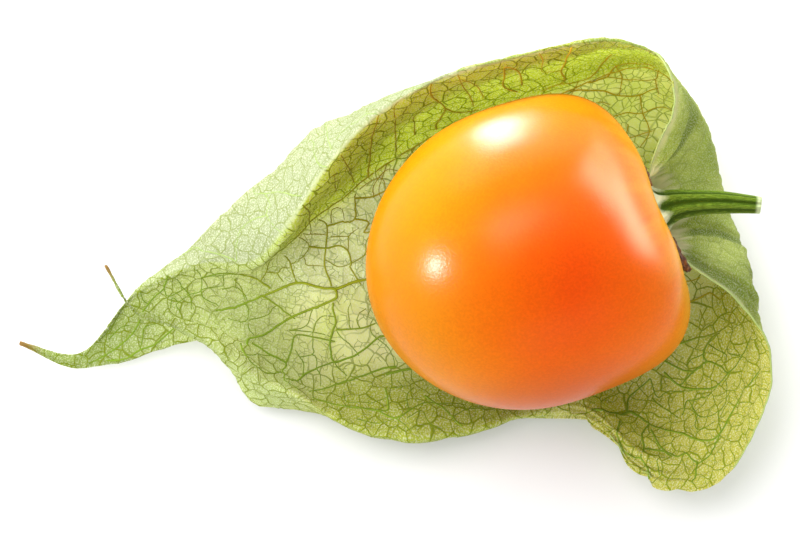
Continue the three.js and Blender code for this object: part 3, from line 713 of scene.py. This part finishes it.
# The shoulders are faintly lobed and one side is a little fuller.
reach += 0.1 * np.cos(5 * around + 0.6) * np.exp(-((angle - 40) / 25) ** 2)
reach += 0.12 * np.cos(around - 2.2) * np.sin(np.radians(angle)) ** 2
from_low_side = (around + math.radians(110) + math.pi) % (2 * math.pi) - math.pi
reach += 0.4 * np.exp(-((angle - 40) / 20) ** 2) * np.exp(-(from_low_side / 1.0) ** 2)
berry.data.vertices.foreach_set("co", (skin * reach[:, None] * MM).ravel())
# The sphere's pole is turned down to +X, and then towards the stem.
berry.rotation_euler = (0, math.pi / 2, BERRY_AXIS_TURN)
berry.location = Vector(BERRY_CENTRE) * MM
bpy.ops.object.transform_apply(location=True, rotation=True, scale=True)
bpy.ops.object.shade_smooth()

# Waxy berry skin: smooth and glossy over juicy flesh, which light sinks into. It is red-orange
# where it ripened towards the light, yellow-orange at the sides and pale at the stem end, with painted
# shade on its lower side and a dark ring, partly painted shade, round the dimple under the collar.
skin_material, tree = new_material("waxy_berry_skin")
place = node(tree, "TexCoord", out="Object")
centred = node(tree, "VectorMath", {"operation": "SUBTRACT", 1: Vector(BERRY_CENTRE) * MM}, {0: place})
direction = node(tree, "VectorMath", {"operation": "NORMALIZE"}, {0: centred})
uneven = node(tree, "TexNoise", {"Scale": 2.2, "Detail": 3.0, "Roughness": 0.6}, {"Vector": direction})
# It is ripest round this direction, in a patch that is longer one way than the others.
RIPE_SIDE = Vector((0.31, -0.12, 0.94))
RIPE_SHAPE = Vector((1, 0.62, 0.8))
RIPE_REACH = 0.9
squeezed = node(tree, "VectorMath", {"operation": "MULTIPLY", 1: RIPE_SHAPE}, {0: direction})
unripe = node(tree, "VectorMath", {"operation": "DISTANCE", 1: RIPE_SIDE * RIPE_SHAPE}, {0: squeezed},
              out="Value")
ripe = node(tree, "Math", {"operation": "SUBTRACT", 0: RIPE_REACH}, {1: unripe})
ripe = node(tree, "Math", {"operation": "MULTIPLY_ADD", 1: 0.2}, {0: uneven, 2: ripe})
ripeness = node(tree, "ValToRGB", None, {0: ripe})
ramp = ripeness.node.color_ramp
ramp.elements[0].color = linear("#D88000")
ramp.elements[1].position = 0.95
ramp.elements[1].color = linear("#D44600")
for position, shade in ((0.2, "#D87400"), (0.45, "#D86400"), (0.68, "#D65400")):
    ramp.elements.new(position).color = linear(shade)
STEM_SIDE = Vector((math.cos(BERRY_AXIS_TURN), math.sin(BERRY_AXIS_TURN), 0))
toward_stem = node(tree, "VectorMath", {"operation": "DOT_PRODUCT", 1: STEM_SIDE}, {0: direction},
                   out="Value")
# Paler rays run out from the stem.
around_stem = node(tree, "VectorMath", {"operation": "CROSS_PRODUCT", 1: STEM_SIDE}, {0: direction})
around_stem = node(tree, "VectorMath", {"operation": "NORMALIZE"}, {0: around_stem})
ray = node(tree, "TexNoise", {"Scale": 5.0, "Detail": 3.0}, {"Vector": around_stem})
rayed = node(tree, "Math", {"operation": "MULTIPLY_ADD", 1: 0.2}, {0: ray, 2: toward_stem})
rayed = node(tree, "Math", {"operation": "SUBTRACT", 1: 0.1}, {0: rayed})
pale = node(tree, "MapRange", {"interpolation_type": "SMOOTHSTEP", "From Min": 0.64, "From Max": 0.93,
                               "To Max": 0.85}, {"Value": rayed})
# A dark ring round the stem dimple, under the collar's lip: partly a corky scar, partly painted shade of
# the gap.
scar_and_gap_shade = node(tree, "MapRange", {"interpolation_type": "SMOOTHSTEP", "From Min": 0.972, "From Max": 0.983},
            {"Value": toward_stem})
# Painted shade: the side away from the light is darkened to a deeper orange.
SHADED_SIDE = Vector((0.25, -0.95, -0.15)).normalized()
painted_underside_shade = node(tree, "VectorMath", {"operation": "DOT_PRODUCT", 1: SHADED_SIDE},
             {0: direction}, out="Value")
painted_underside_shade = node(tree, "MapRange", {"interpolation_type": "SMOOTHSTEP", "From Min": 0.5, "From Max": 1.0,
                                "To Max": 0.75}, {"Value": painted_underside_shade})
colour = lay_tints(tree, ripeness, [(pale, "#E0A228"), (scar_and_gap_shade, "#6B3414"), (painted_underside_shade, "#A83E00")])
# Fine pores, less than 0.2 mm apart.
PORES_PER_MM = 6
PORE_DEPTH = 0.03
pores = node(tree, "TexNoise", {"Scale": PORES_PER_MM / MM, "Detail": 2.0}, {"Vector": place})
speck = node(tree, "MapRange", {"From Min": 0.35, "From Max": 0.7, "To Min": 0.92, "To Max": 1.05},
             {"Value": pores})
colour = node(tree, "VectorMath", {"operation": "SCALE"}, {0: colour, "Scale": speck})
bump = node(tree, "Bump", {"Strength": 0.35, "Distance": PORE_DEPTH * MM}, {"Height": pores})
# Light goes this far into the flesh, red the furthest, in mm.
FLESH_DEPTH = 2.0
surface = node(tree, "BsdfPrincipled",
               {"Roughness": 0.27, "IOR": 1.18, "Subsurface Weight": 0.2,
                "Subsurface Radius": (1.0, 0.35, 0.08), "Subsurface Scale": FLESH_DEPTH * MM},
               {"Base Color": colour, "Normal": bump})
node(tree, "OutputMaterial", None, {0: surface})
berry.data.materials.append(skin_material)
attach(berry, "root")
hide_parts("berry")

# ------------------------------------------------------------
# Stem. The ridged green stalk that the fruit hung by, cut short. It widens into the pale collar
# that the berry and the husk grow from.
STEM_RINGS = [  # x, y, z and radius, in mm
    (15.8, 3.34, 10.15, 1.6), (15.95, 3.4, 10.15, 1.95), (16.15, 3.46, 10.15, 1.75),
    (16.45, 3.56, 10.16, 1.3), (16.85, 3.7, 10.18, 1.0), (17.35, 3.84, 10.22, 0.85),
    (18.1, 3.94, 10.27, 0.74), (19.1, 4.0, 10.31, 0.66), (20.2, 4.0, 10.35, 0.61),
    (21.4, 3.93, 10.39, 0.53), (22.2, 3.86, 10.4, 0.48), (22.5, 3.83, 10.4, 0.46),
    (22.58, 3.82, 10.4, 0.4),
]
STEM_RIDGES = 6
# The share of the sphere, at each end, that closes the stalk, and how far the cut end bulges in mm.
CAP = 0.04
CAP_HEIGHT = 0.12
bpy.ops.object.select_all(action="DESELECT")
bpy.ops.mesh.primitive_uv_sphere_add(segments=96, ring_count=130, radius=1)
stem = bpy.context.object
stem.name = stem.data.name = "stem_stalk"
ball = places(stem.data)
level = np.arccos(np.clip(ball[:, 2], -1, 1)) / math.pi
turned = np.arctan2(ball[:, 1], ball[:, 0])
along = np.clip((level - CAP) / (1 - 2 * CAP), 0, 1) * (len(STEM_RINGS) - 1)
ring = on_curve(np.array(STEM_RINGS), along)
ahead, behind = (on_curve(np.array(STEM_RINGS), np.clip(along + shift, 0, len(STEM_RINGS) - 1))
                 for shift in (0.01, -0.01))
ahead -= behind
heading = np.arctan2(ahead[:, 1], ahead[:, 0])
ridge = np.cos(STEM_RIDGES * turned + 0.5 + 0.05 * along)
open_end = np.clip(np.minimum(level, 1 - level) / CAP, 0, 1)
# Strong ridges that rise out of the collar, and low uneven ones between them.
ridges = 0.13 * ridge * (0.5 + 0.5 * smooth(1, 4, along))
ridges += 0.04 * np.cos(13 * turned + 1 + 0.2 * along)
ridges += 0.02 * np.cos(19 * turned + 0.3 * along)
wide = ring[:, 3] * open_end * (1 + ridges)
sideways = np.stack([-np.sin(heading), np.cos(heading), np.zeros_like(heading)], axis=1)
centre = ring[:, :3].copy()
centre[:, 0] -= CAP_HEIGHT * (1 - open_end) * (level > 0.5)
stalk = centre + sideways * (wide * np.cos(turned))[:, None]
stalk[:, 2] += wide * np.sin(turned)
stem.data.vertices.foreach_set("co", (stalk * MM).ravel())
marks = {
    "ridge": ridge * 0.5 + 0.5,
    "collar": 1 - smooth(2, 4.6, along - 0.8 * ridge),
    "cut_end": np.maximum(smooth(9.9, 10.5, along), 1 - open_end),
}
for name, mask in marks.items():
    stem.data.attributes.new(name, "FLOAT", "POINT").data.foreach_set("value", mask)
# The fibres' pattern is drawn out along the stalk.
fibres = np.stack([along * 0.25, turned * 1.2, np.zeros_like(along)], axis=1)
stem.data.attributes.new("fibres", "FLOAT_VECTOR", "POINT").data.foreach_set("vector", fibres.ravel())
bpy.ops.object.mode_set(mode="EDIT")
bpy.ops.mesh.select_all(action="SELECT")
bpy.ops.mesh.normals_make_consistent(inside=False)
bpy.ops.object.mode_set(mode="OBJECT")
bpy.ops.object.shade_smooth()

# Green stalk: fibrous and faintly downy, paler on its ridges as a painted highlight and darker between
# them as painted shade; whitish where it is cut and where it spreads into the downy collar.
stem_material, tree = new_material("green_stalk")
place = node(tree, "TexCoord", out="Object")
lines = node(tree, "Attribute", {"attribute_name": "fibres"}, out="Vector")
fibre = node(tree, "TexNoise", {"Scale": 8.0, "Detail": 5.0, "Roughness": 0.75}, {"Vector": lines})
# Painted highlight and shade: the ridges are coloured lighter and the grooves between them darker.
high = node(tree, "Attribute", {"attribute_name": "ridge"}, out="Fac")
high = node(tree, "Math", {"operation": "MULTIPLY_ADD", 1: 3.4}, {0: fibre, 2: high})
high = node(tree, "MapRange", {"From Min": 2.0, "From Max": 3.0}, {"Value": high})
colour = node(tree, "Mix", {"data_type": "RGBA", MIX_A: linear("#3A5204"), MIX_B: linear("#76922A")},
              {MIX_FACTOR: high}, out=MIX_COLOUR)
DOWN_PER_MM = 5
down = node(tree, "TexNoise", {"Scale": DOWN_PER_MM / MM, "Detail": 3.0, "Roughness": 0.8},
            {"Vector": place})
for mark, tint, low, tall in (("collar", "#D6DAB2", 0.2, 0.75), ("cut_end", "#C6D4A2", 0.0, 1.0)):
    amount = node(tree, "Attribute", {"attribute_name": mark}, out="Fac")
    amount = node(tree, "Math", {"operation": "MULTIPLY_ADD", 1: 0.5}, {0: down, 2: amount})
    amount = node(tree, "MapRange", {"From Min": low + 0.3, "From Max": tall + 0.4}, {"Value": amount})
    colour = lay_tints(tree, colour, [(amount, tint)])
height = node(tree, "Math", {"operation": "ADD"}, {0: fibre, 1: down})
FIBRE_DEPTH = 0.1
bump = node(tree, "Bump", {"Strength": 0.9, "Distance": FIBRE_DEPTH * MM}, {"Height": height})
surface = node(tree, "BsdfPrincipled",
               {"Roughness": 0.75, "IOR": 1.3, "Sheen Weight": 0.03, "Sheen Roughness": 0.4},
               {"Base Color": colour, "Normal": bump})
node(tree, "OutputMaterial", None, {0: surface})
stem.data.materials.append(stem_material)
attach(stem, "root")
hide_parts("stem")

# ------------------------------------------------------------
# Dark flakes in the gaps between the berry and the collar: partly dried resin, partly painted shadow of
# the gaps.
FLAKES = [  # x, y, z, half length and half width, in mm, and turn in degrees
    (15.36, 5.85, 12.5, 0.4, 0.16, 112), (15.6, 5.3, 12.7, 0.3, 0.1, 115),
    (16.75, 2.1, 13.2, 0.7, 0.14, -65), (17.12, 1.3, 12.9, 0.7, 0.24, -62),
    (17.45, 0.6, 12.0, 0.75, 0.3, -55), (17.75, 0.15, 11.2, 0.5, 0.26, -45),
]
flakes = []
for x, y, z, length, width, turn in FLAKES:
    bpy.ops.mesh.primitive_ico_sphere_add(subdivisions=4, radius=1)
    flake = bpy.context.object
    shape = places(flake.data)
    rough = np.array([noise.noise(Vector(point) * 2 + Vector((x, y, z))) for point in shape])
    shape *= (1 + 0.45 * rough)[:, None]
    flake.data.vertices.foreach_set("co", (shape * (length * MM, width * MM, width * 1.6 * MM)).ravel())
    flake.rotation_euler = (0, 0, math.radians(turn))
    flake.location = Vector((x, y, z)) * MM
    flakes.append(flake)
bpy.ops.object.select_all(action="DESELECT")
for flake in flakes:
    flake.select_set(True)
bpy.context.view_layer.objects.active = flakes[0]
bpy.ops.object.join()
bpy.ops.object.transform_apply(location=True, rotation=True, scale=True)
bpy.ops.object.shade_smooth()
resin_and_shade_flakes = bpy.context.object
resin_and_shade_flakes.name = resin_and_shade_flakes.data.name = "resin_and_gap_shade"

# Resin and painted gap shadow: dull, and mottled from near black to tobacco brown.
MOTTLES_PER_MM = 3
resin_and_shade_material, tree = new_material("resin_and_gap_shade_flake")
place = node(tree, "TexCoord", out="Object")
mottle = node(tree, "TexNoise", {"Scale": MOTTLES_PER_MM / MM, "Detail": 4.0}, {"Vector": place})
mottle = node(tree, "MapRange", {"From Min": 0.4, "From Max": 0.65}, {"Value": mottle})
colour = node(tree, "Mix", {"data_type": "RGBA", MIX_A: linear("#3A1A0C"), MIX_B: linear("#7A4A1A")},
              {MIX_FACTOR: mottle}, out=MIX_COLOUR)
surface = node(tree, "BsdfPrincipled", {"Roughness": 0.7}, {"Base Color": colour})
node(tree, "OutputMaterial", None, {0: surface})
resin_and_shade_flakes.data.materials.append(resin_and_shade_material)
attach(resin_and_shade_flakes, "root")

# ------------------------------------------------------------
# Studio. A plain matt white floor in metres, soft boxes of light that face the berry, and a camera
# that looks straight down.
bpy.ops.object.select_all(action="DESELECT")
FLOOR_SIZE = 3
bpy.ops.mesh.primitive_plane_add(size=FLOOR_SIZE)
floor = bpy.context.object
floor.name = "floor"
paint = bpy.data.materials.new("matt_white_floor")
paint.use_nodes = True
matt = paint.node_tree.nodes["Principled BSDF"].inputs
matt["Base Color"].default_value = linear("#F5F5F5")
matt["Roughness"].default_value = 0.9
floor.data.materials.append(paint)

LIT_POINT = Vector((7.95, 0.5, 9)) * MM


def soft_box(name, direction, distance, size, power, colour="#FFFFFF"):
    """A soft box that faces the berry from a direction; distance and size in mm."""
    lamp = bpy.data.lights.new(name, "AREA")
    lamp.shape = "RECTANGLE"
    lamp.size, lamp.size_y = (side * MM for side in size)
    lamp.energy = power
    lamp.color = linear(colour)[:3]
    piece = bpy.data.objects.new(name, lamp)
    bpy.context.collection.objects.link(piece)
    away = Vector(direction).normalized()
    piece.location = LIT_POINT + away * distance * MM
    piece.rotation_euler = away.to_track_quat("Z", "Y").to_euler()
    piece.visible_camera = False
    return piece


for name, direction, distance, size, power in (
        ("overhead_box", (-0.35, 0.4, 1), 420, (300, 300), 1.3),
        ("back_box", (-0.25, 1, 0.2), 260, (300, 90), 1.2),
        ("front_box", (0.3, -1, 0.5), 420, (300, 200), 0.4)):
    soft_box(name, direction, distance, size, power).visible_glossy = False

# A box on the left that reaches into the husk, under the berry's shade.
on_husk = bpy.data.collections.new("on_husk")
for piece in (husk, veins, flap_veins, rims):
    on_husk.objects.link(piece)
fill = soft_box("left_fill", (-1, -0.35, 0.5), 300, (200, 150), 0.9)
fill.light_linking.receiver_collection = on_husk
fill.visible_glossy = False

# Boxes that only show as gleams on the berry's skin, so they light nothing else.
WARM_WHITE = "#FFF2DC"
on_berry = bpy.data.collections.new("on_berry")
on_berry.objects.link(berry)
for name, turn, height, distance, size, power in (
        ("far_gleam", 108, -17, 260, (8, 150), 1.4),
        ("left_gleam", -176, 23, 300, (30, 30), 2.0),
        ("right_gleam", 36, 10, 260, (330, 300), 8.0),
        ("upper_right_gleam", 56, 32, 260, (150, 110), 1.5),
        ("lower_right_gleam", 26, 18, 260, (150, 110), 1.8),
        ("overhead_gleam", 125, 62, 420, (160, 120), 0.7)):
    turn, height = math.radians(turn), math.radians(height)
    toward = (math.cos(turn) * math.cos(height), math.sin(turn) * math.cos(height), math.sin(height))
    gleam = soft_box(name, toward, distance, size, power, WARM_WHITE if "right" in name else "#FFFFFF")
    gleam.light_linking.receiver_collection = on_berry
    gleam.light_linking.blocker_collection = on_berry
    gleam.visible_diffuse = False

# The room is brighter round the sides than overhead.
SIDE_LIGHT, OVERHEAD_LIGHT = 1.6, 0.6
world = bpy.data.worlds.new("studio")
bpy.context.scene.world = world
world.use_nodes = True
tree = world.node_tree
tree.nodes.clear()
around = node(tree, "TexCoord", out="Generated")
upward = node(tree, "SeparateXYZ", None, {0: around}, out="Z")
strength = node(tree, "MapRange", {"To Min": SIDE_LIGHT, "To Max": OVERHEAD_LIGHT}, {"Value": upward})
sky = node(tree, "Background", None, {"Strength": strength})
node(tree, "OutputWorld", None, {0: sky})

# The camera takes in this width, in mm, at this height above the floor, from this far over it.
FRAME_WIDTH = 50
FRAME_LEVEL = 5
CAMERA_DISTANCE = 400
FRAME_MIDDLE = (0.31, 0.06)
lens = bpy.data.cameras.new("camera")
lens.sensor_width = 36
lens.lens = lens.sensor_width * CAMERA_DISTANCE / FRAME_WIDTH
camera = bpy.data.objects.new("camera", lens)
bpy.context.collection.objects.link(camera)
camera.location = Vector((*FRAME_MIDDLE, FRAME_LEVEL + CAMERA_DISTANCE)) * MM
bpy.context.scene.camera = camera
bpy.context.scene.view_settings.view_transform = "Standard"
